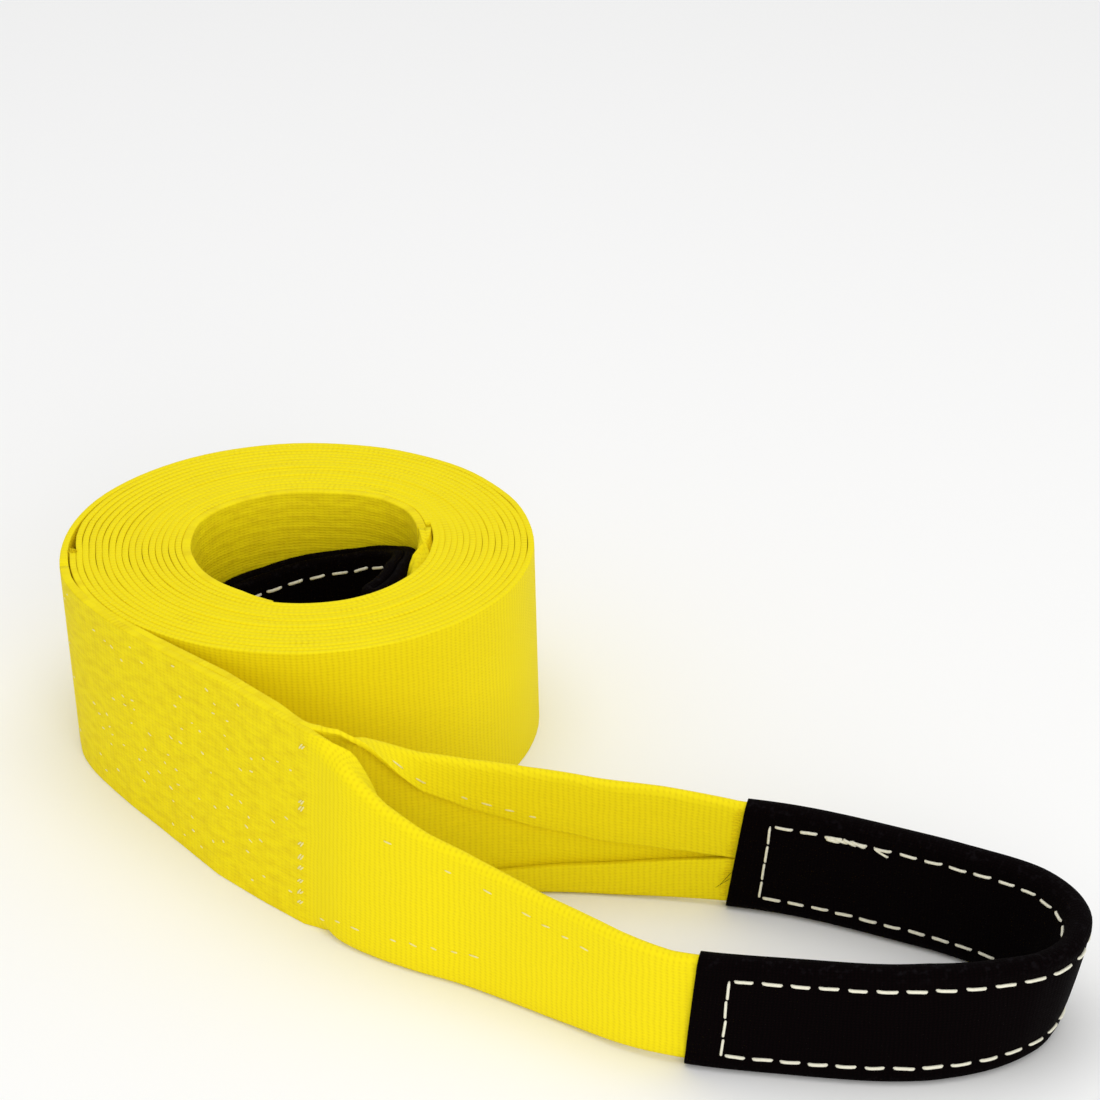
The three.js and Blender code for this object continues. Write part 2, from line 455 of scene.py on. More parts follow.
class Shells:
    """Collects closed strips of webbing in one mesh."""

    def __init__(self):
        self.verts = []
        self.faces = []
        self.along = []
        self.across = []
        self.marks = []
        self.count = 0
        self.length = 0.0

    def add(self, path, sections, thickness, sewn):
        rings = [skin_ring(section, thick) for section, thick in zip(sections, thickness)]
        size = len(rings[0][0])
        outlines = np.array([ring for ring, across in rings])
        distance = np.repeat(path.span[:, None], size, axis=1)
        self.verts.append(path.place(distance, outlines[:, :, 1], outlines[:, :, 0]).reshape(-1, 3))
        self.faces += ring_faces(len(rings), size, self.count)
        self.along.append(distance.ravel() + self.length)
        self.across.append(np.concatenate([across for ring, across in rings]))
        self.marks.append(np.repeat(sewn * np.ones(len(rings)), size))
        self.count += len(rings) * size
        self.length += path.span[-1]

    def build(self, name):
        parts = [np.concatenate(values) for values in (self.along, self.across, self.marks)]
        return mesh_piece(name, to_frame(np.vstack(self.verts)), self.faces, *parts)


# The outer end: the lap's outer ply, front leg, tip, back leg and the lap's inner ply

def even_winding(degrees):
    """Radius of the webbing's middle in an even winding, and the turns before an angle."""
    turned = (ROLL_START_DEG - degrees) / 360.0
    return ROLL_RADIUS - WEB_THICKNESS / 2 - TURN_PITCH * turned, turned


def outer_end_line():
    """The outer end's line in plan. Its inner ply leaves the lap's face where the roll begins,
    and goes on along the roll to its cut end."""
    face = np.array(LAP_FACE) * MM
    outer_ply = aside(face, -LAP_PLY / 2)
    eye = aside(np.array(EYE_ROUTE) * MM, OUTER_FOLD_PITCH / 2)
    off_roll = len(face) // 2
    inner_ply = aside(face, -LAP_PLY * 1.5 - LAP_GAP)[off_roll:][::-1]
    on_roll = np.linspace(ROLL_START_DEG, PLY_CUT_DEG, 6)
    cut_ply = polar(even_winding(on_roll)[0], on_roll)
    return even_line(smooth_line(np.vstack([outer_ply, eye, inner_ply, cut_ply])), OUTER_STEP)


outer_line = outer_end_line()
outer_span = lengths(outer_line)
tip_index = nearest(outer_line, EYE_TIP)


def back_index(place):
    return tip_index + nearest(outer_line[tip_index:], place)


front_seam = outer_span[nearest(outer_line, FRONT_SEAM)]
back_seam = outer_span[back_index(BACK_SEAM)]
tip_span = outer_span[tip_index]
front_mouth = outer_span[nearest(outer_line, FRONT_MOUTH)]
back_mouth = outer_span[back_index(BACK_MOUTH)]
outer_from_seam = np.clip(np.minimum(outer_span - front_seam, back_seam - outer_span), 0.0, None)

# Leans in mm along the outer end: place, how far the foot and the head stand outwards
OUTER_LEANS = [
    (0.0, -0.6, 0.5), (30.0 * MM, -0.2, 0.2), (46.0 * MM, 0.3, -0.5), (75.0 * MM, 2.4, -2.4),
    (front_seam, 1.3, -1.3), (front_seam + 40 * MM, 0.6, 0.0), (front_mouth, 0.2, 0.3),
    (front_mouth + 26 * MM, 1.0, 0.3), (tip_span - 45 * MM, 1.4, 0.5), (tip_span - 29 * MM, 0.2, 2.2),
    (tip_span - 21 * MM, -0.9, 4.0), (tip_span - 12 * MM, -2.0, 4.8), (tip_span, -2.7, 3.2),
    (tip_span + 14 * MM, -1.6, 2.0), (tip_span + 34 * MM, -0.6, 0.6), (back_mouth, -0.2, 0.2),
    (back_seam - 30 * MM, -0.2, 0.2), (back_seam, -1.2, 1.2), (back_seam + 36 * MM, -2.2, 2.2),
    (outer_span[-1] - 53 * MM, 0.0, 0.0), (outer_span[-1], 0.0, 0.0),
]
START_LEAN = OUTER_LEANS[0][1:]


def outer_end_path():
    height = column(OUTER_FOLDING, outer_from_seam / MM, 1) * MM
    lift = np.interp(outer_from_seam, [70 * MM, 98 * MM], [0.0, SLEEVE_LIFT])
    foot = column(OUTER_LEANS, outer_span, 1) * MM
    head = column(OUTER_LEANS, outer_span, 2) * MM
    return Path(outer_line, 1.0, foot, head, height, lift)


def outer_thickness():
    """Thickness along the outer end: the lap's plies are thicker, and thin out on the roll."""
    near_lap = np.clip(1 - outer_from_seam / LAP_EDGE, 0.0, 1.0)
    off_roll = np.clip((outer_span[-1] - PLY_ON_ROLL - outer_span) / PLY_TAPER, 0.0, 1.0)
    return WEB_THICKNESS + (LAP_PLY - WEB_THICKNESS) * near_lap * off_roll


# The wound turns

SETTLING_LENGTH = 60 * MM
TURN_UNEVENNESS = 0.0016
SELVAGE_WAVE = 0.25 * MM
SELVAGE_RIPPLE = 0.06 * MM
CUT_TAPER_DEG = 18.0
CUT_THICKNESS_SHARE = 0.3


def roll_radius(degrees):
    """Radius of the wound webbing's middle, at an angle counted down from the lap."""
    plain, turned = even_winding(degrees)
    wrapped = (degrees - INNER_CUT_DEG) % 360.0 + INNER_CUT_DEG
    depth = np.clip(turned / ALL_TURNS, 0.0, 1.0)
    first_turn = degrees > OUTER_PLY_DEG - FIRST_BULGE_SPAN_DEG
    bulge = column(INNER_BULGE, wrapped, 1) * np.clip(1 - turned / BULGED_TURNS, 0.0, 1.0)
    bulge = np.where(first_turn, column(FIRST_TURN_BULGE, degrees, 1), bulge)
    return plain + (column(BORE_SHAPE, wrapped, 1) * depth ** 3 + bulge) * MM


def roll_path():
    """The wound turns, which go on from the lap's outer ply, and their thickness."""
    last = INNER_SEAM_DEG - WHOLE_TURNS * 360.0
    degrees = np.arange(OUTER_PLY_DEG, last - 0.1, -ROLL_STEP_DEG)
    line = polar(roll_radius(degrees), degrees)
    span = lengths(line)
    settled = np.clip(span / SETTLING_LENGTH, 0.0, 1.0)
    line *= (1 + soft_waves(span, 0.035, 5) * TURN_UNEVENNESS * settled)[:, None]
    lift = soft_waves(span, 0.19, 3) * SELVAGE_WAVE + soft_waves(span, 0.021, 4) * SELVAGE_RIPPLE
    foot, head = (-lean * MM * (1 - settled) for lean in START_LEAN)
    thickness = np.interp(span, [0.0, PLY_TAPER], [LAP_PLY, WEB_THICKNESS])
    return Path(line, 1.0, foot, head, lift=np.clip(lift * settled, 0.0, None)), thickness


def inner_lap_path():
    """The inner lap's second ply, and its thickness, which thins out to its cut end."""
    degrees = np.arange(INNER_SEAM_DEG, INNER_CUT_DEG + 360.1, INNER_STEP_DEG)
    to_cut = degrees[-1] - degrees
    thickness = LAP_PLY * np.interp(to_cut, [0.0, CUT_TAPER_DEG], [CUT_THICKNESS_SHARE, 1.0])
    wall = roll_radius(degrees - WHOLE_TURNS * 360.0) - WEB_THICKNESS / 2
    return Path(polar(wall - LAP_GAP - thickness / 2, degrees), 1.0), thickness


# The inner eye: two legs pressed against the bore's wall, and a tight bend at its tip

LAP_STEP_DEG = (-12.0, 0.0, 18.0)
LAP_STEP_SHARE = (0.0, 0.35, 1.0)


def inner_leg_radii(degrees):
    """Radii of the outer and inner leg at angles counted down from the inner seam."""
    wall = roll_radius(degrees - (WHOLE_TURNS - 1) * 360.0) - WEB_THICKNESS / 2
    past_cut = INNER_CUT_DEG - degrees
    wall -= (LAP_PLY + LAP_GAP) * np.interp(past_cut, LAP_STEP_DEG, LAP_STEP_SHARE)
    clearance, spread, step_in = (column(INNER_EYE, degrees, k) * MM for k in (1, 2, 4))
    outer_leg = wall - clearance - step_in
    return outer_leg, outer_leg - spread


def inner_eye_line():
    """The inner eye's line in plan, out and back, and the angle of each of its points."""
    degrees = np.arange(INNER_SEAM_DEG, INNER_TIP_DEG - 0.1, -INNER_STEP_DEG)
    outer_leg, inner_leg = inner_leg_radii(degrees)
    middle = (outer_leg[-1] + inner_leg[-1]) / 2
    bend = (outer_leg[-1] - inner_leg[-1]) / 2
    centre = polar(np.array([middle]), degrees[-1:])
    turns = half_circle()
    outwards = centre / middle
    onwards = turn_right(outwards)
    tip = centre + bend * (outwards * np.cos(turns)[:, None] + onwards * np.sin(turns)[:, None])
    line = np.vstack([polar(outer_leg, degrees), tip, polar(inner_leg, degrees)[::-1]])
    angles = np.concatenate([degrees, np.full(len(tip), degrees[-1]), degrees[::-1]])
    return line, angles


inner_line, inner_angles = inner_eye_line()
inner_span = lengths(inner_line)
inner_from_seam = np.minimum(inner_span, inner_span[-1] - inner_span)
inner_lift = column(INNER_EYE, inner_angles, 3) * MM


def make_webbing():
    """The webbing as four closed shells in one mesh, and its whole length."""
    shells = Shells()
    path = outer_end_path()
    thickness = outer_thickness()
    sections = [folded_section(d, t, OUTER_FOLD_PITCH) for d, t in zip(outer_from_seam, thickness)]
    sewn = np.clip(1 - outer_from_seam / SEWN_EDGE, 0.0, 1.0)
    shells.add(path, sections, thickness, sewn)
    roll, thickness = roll_path()
    shells.add(roll, [flat_section()] * len(thickness), thickness, 0.0)
    lap, thickness = inner_lap_path()
    shells.add(lap, [flat_section()] * len(thickness), thickness, 1.0)
    lift = inner_lift + SLEEVE_LIFT * np.clip(inner_from_seam / INNER_LIFT_LENGTH, 0.0, 1.0)
    eye = Path(inner_line, -1.0, lift=lift)
    thickness = np.interp(inner_from_seam, INNER_THINNING, [WEB_THICKNESS, INNER_LAYER])
    sections = [folded_section(d, t, INNER_FOLD_PITCH) for d, t in zip(inner_from_seam, thickness)]
    shells.add(eye, sections, thickness, 0.0)
    return shells.build("webbing_strip"), shells.length


# Sleeves

def face_bulge(z):
    """Cloth stands proud between the two rows of stitches and is drawn in at each."""
    drawn = sum(np.exp(-((z - row) / ROW_REACH) ** 2) for row in (LOWER_ROW, UPPER_ROW))
    share = np.clip((z - LOWER_ROW) / (UPPER_ROW - LOWER_ROW), 0.0, 1.0)
    return CLOTH_PROUD * np.sin(math.pi * share) - ROW_DIP * drawn


def sleeve_ring(depth, height, inset):
    """Points round a flattened tube with soft edges, and how near each is to a ridge."""
    half = depth / 2 - inset
    top = height - inset
    soft = min(depth * SOFT_EDGE_SHARE, SOFT_EDGE)
    heights = np.linspace(inset + soft, top - soft, 14)
    proud = face_bulge(heights) * depth / OUTER_SLEEVE_DEPTH
    turns = half_circle()
    over = np.stack([half * np.cos(turns), top - soft + soft * np.sin(turns)], axis=1)
    under = np.stack([-half * np.cos(turns), inset + soft - soft * np.sin(turns)], axis=1)
    rising = np.stack([half + proud, heights], axis=1)
    falling = np.stack([-half - proud, heights], axis=1)[::-1]
    ring = np.vstack([rising, over, falling, under])
    ridge = np.clip(1 - np.minimum(ring[:, 1], height - ring[:, 1]) / RIDGE_REACH, 0.0, 1.0)
    return ring, ridge


def slanted(span, z, total, slants):
    """Distances along a sleeve, with its mouths slanted by its height."""
    start = slants[0] * np.clip(1 - span / SLANT_FADE, 0.0, 1.0)
    end = slants[1] * np.clip(1 - (total - span) / SLANT_FADE, 0.0, 1.0)
    return span + (start - end) * (z / SLEEVE_HEIGHT)


def make_sleeve(name, path, depth, skin, slants):
    """A sleeve as a tube with an outer and an inner skin, closed by a rim at each mouth."""
    total = path.span[-1]
    outer, ridge = sleeve_ring(depth, SLEEVE_HEIGHT, 0.0)
    inner = sleeve_ring(depth, SLEEVE_HEIGHT, skin)[0]
    size = len(outer)
    count = len(path.span)
    span = np.repeat(path.span[:, None], size, axis=1)
    creases = soft_waves(path.span, 0.011, 21) * soft_waves(path.span, 0.07, 22)
    verts = []
    for ring in (outer, inner):
        z = np.tile(ring[:, 1], (count, 1))
        offset = np.tile(ring[:, 0], (count, 1))
        crease = CREASE_DEPTH * creases[:, None] * np.sin(z / SLEEVE_HEIGHT * math.pi)
        offset += np.sign(offset) * crease
        verts.append(path.place(slanted(span, z, total, slants), z, offset).reshape(-1, 3))
    faces = ring_faces(count, size, 0, False)
    faces += [tuple(reversed(face)) for face in ring_faces(count, size, count * size, False)]
    for end in (0, count - 1):
        for j in range(size):
            a = end * size + j
            b = end * size + (j + 1) % size
            rim = (a, a + count * size, b + count * size, b)
            faces.append(rim if end == 0 else tuple(reversed(rim)))
    along = np.tile(span.ravel(), 2)
    across = np.tile(lengths(outer), 2 * count)
    # The ridges' marks set where fluff and painted sheen show
    marks = np.tile(ridge, 2 * count)
    return mesh_piece(name, to_frame(np.vstack(verts)), faces, along, across, marks)


# Threads and fibres

def tube_mesh(paths, sides=7):
    """Thin tubes along point lists, each given with its radius, and narrower at its ends."""
    verts = []
    faces = []
    for path, radius in paths:
        start = len(verts)
        along = np.gradient(path, axis=0)
        along /= np.linalg.norm(along, axis=1)[:, None]
        side = np.cross(along[0], [0.0, 0.0, 1.0])
        if np.linalg.norm(side) < 0.2:
            side = np.cross(along[0], [0.0, 1.0, 0.0])
        for i, point in enumerate(path):
            side = side - along[i] * np.dot(side, along[i])
            side /= np.linalg.norm(side)
            other = np.cross(along[i], side)
            at_end = i in (0, len(path) - 1)
            size = radius * (0.5 if at_end else 1.0)
            for j in range(sides):
                angle = 2 * math.pi * j / sides
                verts.append(point + (side * math.cos(angle) + other * math.sin(angle)) * size)
        faces += ring_faces(len(path), sides, start)
    return np.array(verts), faces


def thread_piece(name, paths, sides=7):
    verts, faces = tube_mesh(paths, sides)
    return mesh_piece(name, to_frame(verts), faces)


STITCH_SHARES = np.linspace(-1.0, 1.0, 9)
STITCH_PROUD = 0.75
STITCH_DIP = 2.2
WEB_STITCH_PROUD = 0.35


def stitch(path, start, end, face_offset, radius, rng):
    """One stitch between two (distance, height) places: its ends dip into the cloth."""
    share = (STITCH_SHARES + 1) / 2
    distance = start[0] + (end[0] - start[0]) * share
    z = start[1] + (end[1] - start[1]) * share + rng.uniform(-0.08, 0.08) * MM
    rise = radius * (STITCH_PROUD - STITCH_DIP * np.abs(STITCH_SHARES) ** 7)
    sign = 1.0 if face_offset > 0 else -1.0
    wander = 0.1 * MM * np.sin(STITCH_SHARES * 2 + rng.uniform(-1, 1))
    points = path.place(distance, z + wander, face_offset + sign * rise)
    return points, radius * rng.uniform(0.92, 1.08)


def face_at(depth, face, z):
    return face * (depth / 2 + face_bulge(z) * depth / OUTER_SLEEVE_DEPTH)


def long_row(path, depth, face, z, first, last, rng):
    """A row of stitches along one face of a sleeve."""
    count = int(round((last - first) / STITCH_PITCH))
    step = (last - first) / count
    rows = []
    for i in range(count):
        middle = first + (i + 0.5) * step
        half = STITCH_LENGTH / 2 * rng.uniform(0.93, 1.06)
        tilt = rng.uniform(0.0, 0.32) * MM
        start = (middle - half, z + tilt)
        end = (middle + half, z - tilt)
        rows.append(stitch(path, start, end, face_at(depth, face, z), THREAD_RADIUS, rng))
    return rows


def cross_row(path, depth, face, low, high, rng):
    """Touching stitches across a sleeve between two (distance, height) corners."""
    rows = []
    for i in range(CROSS_STITCHES):
        share = np.array([i + 0.02, i + 0.98]) / CROSS_STITCHES
        ends = [tuple(low[k] + (high[k] - low[k]) * s for k in range(2)) for s in share]
        wobble = rng.uniform(-0.25, 0.25) * MM
        ends[1] = (ends[1][0] + wobble, ends[1][1])
        offset = face_at(depth, face, (ends[0][1] + ends[1][1]) / 2)
        rows.append(stitch(path, ends[0], ends[1], offset, THREAD_RADIUS * 0.85, rng))
    return rows


def sleeve_stitches(path, depth, slants, faces):
    rng = random.Random(5)
    total = path.span[-1]
    paths = []
    for face in faces:
        corners = {}
        for z in (LOWER_ROW, UPPER_ROW):
            first = slanted(np.array(HEM_TO_STITCHES), z, total, slants)
            last = slanted(np.array(total - HEM_TO_STITCHES), z, total, slants)
            corners[z] = (float(first), float(last))
            paths += long_row(path, depth, face, z, corners[z][0], corners[z][1], rng)
        for end in range(2):
            low = (corners[LOWER_ROW][end], LOWER_ROW)
            high = (corners[UPPER_ROW][end], UPPER_ROW)
            paths += cross_row(path, depth, face, low, high, rng)
    return paths


def back_tack(path, depth, face, distance):
    """Stitches sewn over each other where the row was closed, and the thread's loose tail."""
    rng = random.Random(8)
    offset = face_at(depth, face, UPPER_ROW) + face * 0.2 * MM
    paths = []
    for i in range(TACK_STITCHES):
        start = (distance + i * TACK_PITCH, UPPER_ROW + rng.uniform(-0.5, 0.3) * MM)
        end = (start[0] + TACK_LENGTH, UPPER_ROW + rng.uniform(-0.5, 0.3) * MM)
        paths.append(stitch(path, start, end, offset, THREAD_RADIUS, rng))
    start = (distance - 1.8 * MM, UPPER_ROW + 0.2 * MM)
    end = (distance - 5.8 * MM, UPPER_ROW - 1.7 * MM)
    paths.append(stitch(path, start, end, offset, THREAD_RADIUS * 0.8, rng))
    return paths


# Stitches on the webbing itself

def web_points(path, distance, across_from_top, proud):
    """Places on the webbing's outer skin, by their distance from the upper selvage."""
    points = []
    for d, a in zip(distance, across_from_top):
        from_seam = np.interp(d, outer_span, outer_from_seam)
        thick = np.interp(d, outer_span, outer_thickness())
        section, normals, places = folded_section(from_seam, thick, OUTER_FOLD_PITCH)
        place = places[-1] - a
        p = [np.interp(place, places, section[:, k]) for k in range(2)]
        n = [np.interp(place, places, normals[:, k]) for k in range(2)]
        lift = thick / 2 + proud
        points.append(path.spot(d, p[1] + n[1] * lift, p[0] + n[0] * lift))
    return np.array(points)


def web_stitch(path, distance, across, length, tilt, radius):
    """One straight stitch on the webbing, with its radius."""
    share = np.linspace(-1.0, 1.0, 5)
    d = distance + share * length / 2
    a = across + share * tilt / 2
    return web_points(path, d, a, radius * WEB_STITCH_PROUD), radius


# The stitches that show in the row across the lap's end, in mm from the upper selvage
END_ROW = (4.2, 18.6, 20.3, 29.7, 33.2, 36.1, 39.6, 42.6, 45.3)


def lap_stitches(path):
    """Scattered visible stitches in long rows on the lap, and the row across its end."""
    rng = random.Random(12)
    paths = []
    for row in range(1, LAP_ROWS + 1):
        across = row * LAP_ROW_PITCH
        distance = rng.uniform(3.0, 7.0) * MM
        while distance < front_seam - 4 * MM:
            share = distance / front_seam
            if rng.random() < 0.12 + 0.26 * share:
                length = rng.uniform(0.6, 1.3) * MM
                height = across + rng.uniform(-0.8, 0.8) * MM
                paths.append(web_stitch(path, distance, height, length, rng.uniform(-0.2, 0.5) * MM,
                                        FINE_THREAD_RADIUS * rng.uniform(0.6, 0.95)))
            distance += rng.uniform(3.0, 5.4) * MM
    for across in END_ROW:
        for shift in (-0.3, 0.5):
            distance = front_seam + (shift - 1.2) * MM
            tilt = rng.uniform(-1.6, -0.9) * MM
            paths.append(web_stitch(path, distance, across * MM, 1.1 * MM, tilt, FINE_THREAD_RADIUS))
    return paths


# Rows along the folded legs: first and last place, distance from the upper selvage at both,
# and how much of the thread shows at both
def leg_rows():
    return [
        (front_seam + 4 * MM, front_seam + 52 * MM, 46.4 * MM, 37.8 * MM, 0.95, 0.4),
        (front_seam + 24 * MM, front_mouth - 22 * MM, 16.5 * MM, 22.6 * MM, 0.7, 0.4),
        (back_seam - 76 * MM, back_seam - 15 * MM, 2.7 * MM, 2.4 * MM, 0.45, 0.9),
    ]


def leg_stitches(path):
    rng = random.Random(31)
    paths = []
    for first, last, across_first, across_last, shown_first, shown_last in leg_rows():
        count = int((last - first) / LEG_STITCH_PITCH)
        for i in range(count):
            share = (i + 0.5) / count
            if rng.random() > shown_first + (shown_last - shown_first) * share:
                continue
            distance = first + (last - first) * share
            across = across_first + (across_last - across_first) * share
            length = rng.uniform(1.4, 2.6) * MM
            paths.append(web_stitch(path, distance, across, length, rng.uniform(-0.3, 0.3) * MM,
                                    FINE_THREAD_RADIUS * 0.85))
    return paths


def fibre(start, direction, length, bend, rng):
    """A loose fibre from a point, curling to one side."""
    direction = np.array(direction) / np.linalg.norm(direction)
    aside_from = np.cross(direction, [0.3, 0.2, 1.0])
    share = np.linspace(0.0, 1.0, 6)[:, None]
    return start + direction * length * share + aside_from * bend * share ** 2 * rng.uniform(-1, 1)


def cut_end_fluff(path):
    """Fuzz where the webbing was cut, at the end of the lap's inner ply."""
    rng = random.Random(40)
    paths = []
    for i in range(FLUFF_FIBRES):
        distance = outer_span[-1] - rng.uniform(0.0, 1.0) * MM
        offset = rng.uniform(-0.8, 0.8) * MM
        base = path.spot(distance, WEB_WIDTH - 0.2 * MM, offset)
        direction = (rng.uniform(-0.4, 0.4), rng.uniform(-0.1, 1.0), rng.uniform(0.2, 0.6))
        length = rng.uniform(0.7, 1.5) * MM
        paths.append((fibre(base, direction, length, 0.5 * MM, rng), FIBRE_RADIUS))
    return paths


def mouth_fringe(path):
    """Weft ends brushed up beside the back mouth, on the webbing's visible face."""
    rng = random.Random(44)
    paths = []
    for i in range(FRINGE_FIBRES):
        z = FRINGE_START + FRINGE_PITCH * i
        distance = back_mouth + 0.4 * MM - BACK_MOUTH_SLANT * z / SLEEVE_HEIGHT
        base = path.spot(distance, z, -2.9 * MM)
        direction = (-1.0, 0.15, rng.uniform(-0.25, 0.35))
        length = rng.uniform(1.0, 2.1) * MM
        paths.append((fibre(base, direction, length, 0.3 * MM, rng), FRINGE_RADIUS))
    return paths


# The hairs at the back mouth: height in mm and direction
HAIRS = ((9.0, (-0.8, -0.3, -0.75)), (7.2, (-0.9, -0.3, -0.35)))


def black_hairs(path):
    """Loose hairs of the sleeve's cloth beside the back mouth."""
    rng = random.Random(50)
    paths = []
    for z, direction in HAIRS:
        distance = back_mouth - BACK_MOUTH_SLANT * z * MM / SLEEVE_HEIGHT
        base = path.spot(distance, z * MM, -3.0 * MM)
        paths.append((fibre(base, direction, 4.2 * MM, 0.5 * MM, rng), FIBRE_RADIUS))
    return paths


# Materials

def new_material(name, roughness, specular):
    material = bpy.data.materials.new(name)
    material.use_nodes = True
    shader = material.node_tree.nodes["Principled BSDF"]
    shader.inputs["Roughness"].default_value = roughness
    shader.inputs["Specular IOR Level"].default_value = specular
    return material, shader


class Wiring:
    """Short names for the nodes of one material."""

    def __init__(self, material):
        self.nodes = material.node_tree.nodes
        self.links = material.node_tree.links

    def put(self, socket, value):
        if isinstance(value, bpy.types.NodeSocket):
            self.links.new(value, socket)
        elif isinstance(value, tuple):
            socket.default_value = (*value, 1.0)
        else:
            socket.default_value = value

    def math(self, operation, a, b=None, clamp=False):
        node = self.nodes.new("ShaderNodeMath")
        node.operation = operation
        node.use_clamp = clamp
        self.put(node.inputs[0], a)
        if b is not None:
            self.put(node.inputs[1], b)
        return node.outputs[0]

    def mix(self, factor, a, b):
        node = self.nodes.new("ShaderNodeMix")
        node.data_type = "RGBA"
        self.put(node.inputs[0], factor)
        self.put(node.inputs[6], a)
        self.put(node.inputs[7], b)
        return node.outputs[2]

    def noise(self, source, scale, detail):
        node = self.nodes.new("ShaderNodeTexNoise")
        node.inputs["Scale"].default_value = scale
        node.inputs["Detail"].default_value = detail
        self.links.new(source, node.inputs["Vector"])
        return node.outputs[0]

    def wander(self, source, scale, size):
        """A soft drift to both sides, by half of a size each way."""
        drift = self.math("SUBTRACT", self.noise(source, scale, 1.0), 0.5)
        return self.math("MULTIPLY", drift, size)

    def marks(self):
        node = self.nodes.new("ShaderNodeAttribute")
        node.attribute_name = "marks"
        return node.outputs["Fac"]

    def cloth_lengths(self):
        uv = self.nodes.new("ShaderNodeUVMap")
        uv.uv_map = "web"
        split = self.nodes.new("ShaderNodeSeparateXYZ")
        self.links.new(uv.outputs[0], split.inputs[0])
        return uv.outputs[0], split.outputs[0], split.outputs[1]

    def drawn_out(self, along, across, share):
        """A place on the cloth, with its length squeezed so that a pattern is drawn out along it."""
        node = self.nodes.new("ShaderNodeCombineXYZ")
        self.put(node.inputs[0], self.math("MULTIPLY", along, share))
        self.put(node.inputs[1], across)
        return node.outputs[0]

    def place(self):
        return self.nodes.new("ShaderNodeTexCoord").outputs["Object"]

    def arch(self, value, pitch):
        """Round backs side by side, 0 in the gap and 1 on the back."""
        return self.math("ABSOLUTE", self.math("SINE", self.math("MULTIPLY", value, math.pi / pitch)))

    def bump(self, shader, height, strength, distance):
        node = self.nodes.new("ShaderNodeBump")
        node.inputs["Strength"].default_value = strength
        node.inputs["Distance"].default_value = distance
        self.links.new(height, node.inputs["Height"])
        self.links.new(node.outputs[0], shader.inputs["Normal"])


def weave_heights(wiring, cloth, warp_pitch, weft_pitch):
    """Heights of warp rows that waver along the cloth, and of ribs across it."""
    uv, along, across = cloth
    ripple = wiring.math("SINE", wiring.math("MULTIPLY", along, 2 * math.pi / weft_pitch))
    wavy = wiring.math("ADD", across, wiring.math("MULTIPLY", ripple, WARP_RIPPLE))
    wavy = wiring.math("ADD", wavy, wiring.wander(uv, 70.0, WARP_WANDER))
    warp = wiring.arch(wavy, warp_pitch)
    weft = wiring.arch(wiring.math("ADD", along, wiring.wander(uv, 160.0, WEFT_WANDER)), weft_pitch)
    return warp, weft


def yellow_material():
    """Yellow webbing, with painted shade in the gaps of its weave. Where it is sewn, its marks turn the
    ribs into quilting and pits, and painted shade darkens the pits.
    """
    material, shader = new_material("yellow_webbing", 0.72, 0.12)
    wiring = Wiring(material)
    uv, along, across = wiring.cloth_lengths()
    warp, weft = weave_heights(wiring, (uv, along, across), WARP_PITCH, WEFT_PITCH)
    sewn = wiring.marks()
    puckers = wiring.noise(wiring.drawn_out(along, across, 0.4), 560.0, 2.0)
    wander = wiring.math("MULTIPLY", wiring.noise(uv, 110.0, 1.0), 2.2 * MM)
    quilt = wiring.arch(wiring.math("ADD", across, wander), LAP_ROW_PITCH)
    quilting = wiring.math("MULTIPLY", quilt, 0.9)
    quilting = wiring.math("ADD", quilting, wiring.math("MULTIPLY", puckers, 1.3))
    rib_share = wiring.math("SUBTRACT", 0.5, wiring.math("MULTIPLY", sewn, 0.42))
    weave = wiring.math("MULTIPLY", warp, 0.5)
    weave = wiring.math("ADD", weave, wiring.math("MULTIPLY", weft, rib_share))
    height = wiring.math("ADD", weave, wiring.math("MULTIPLY", quilting, sewn))
    wiring.bump(shader, height, 0.38, 0.24 * MM)
    blotches = wiring.math("SUBTRACT", wiring.noise(uv, 16.0, 3.0), 0.42)
    blotches = wiring.math("MULTIPLY", blotches, 2.0, True)
    base = wiring.mix(blotches, YELLOW, DEEP_YELLOW)
    # Painted shade in the gaps between warp rows and between ribs, and in the sewn pits
    rib_gap = wiring.math("SUBTRACT", 1.0, weft)
    between_ribs = wiring.math("MULTIPLY", rib_gap, wiring.math("MULTIPLY", rib_share, 0.6))
    gap_shade = wiring.math("MULTIPLY", wiring.math("SUBTRACT", 1.0, warp), rib_gap)
    gap_shade = wiring.math("MULTIPLY", wiring.math("ADD", gap_shade, between_ribs), 0.4)
    pit_shade = wiring.math("SUBTRACT", 0.5, puckers)
    pit_shade = wiring.math("ADD", wiring.math("MULTIPLY", pit_shade, 1.2), 0.13)
    pit_shade = wiring.math("MULTIPLY", pit_shade, sewn, True)
    shade = wiring.math("ADD", gap_shade, pit_shade, True)
    wiring.put(shader.inputs["Base Color"], wiring.mix(shade, base, SHADED_GAP_YELLOW))
    return material


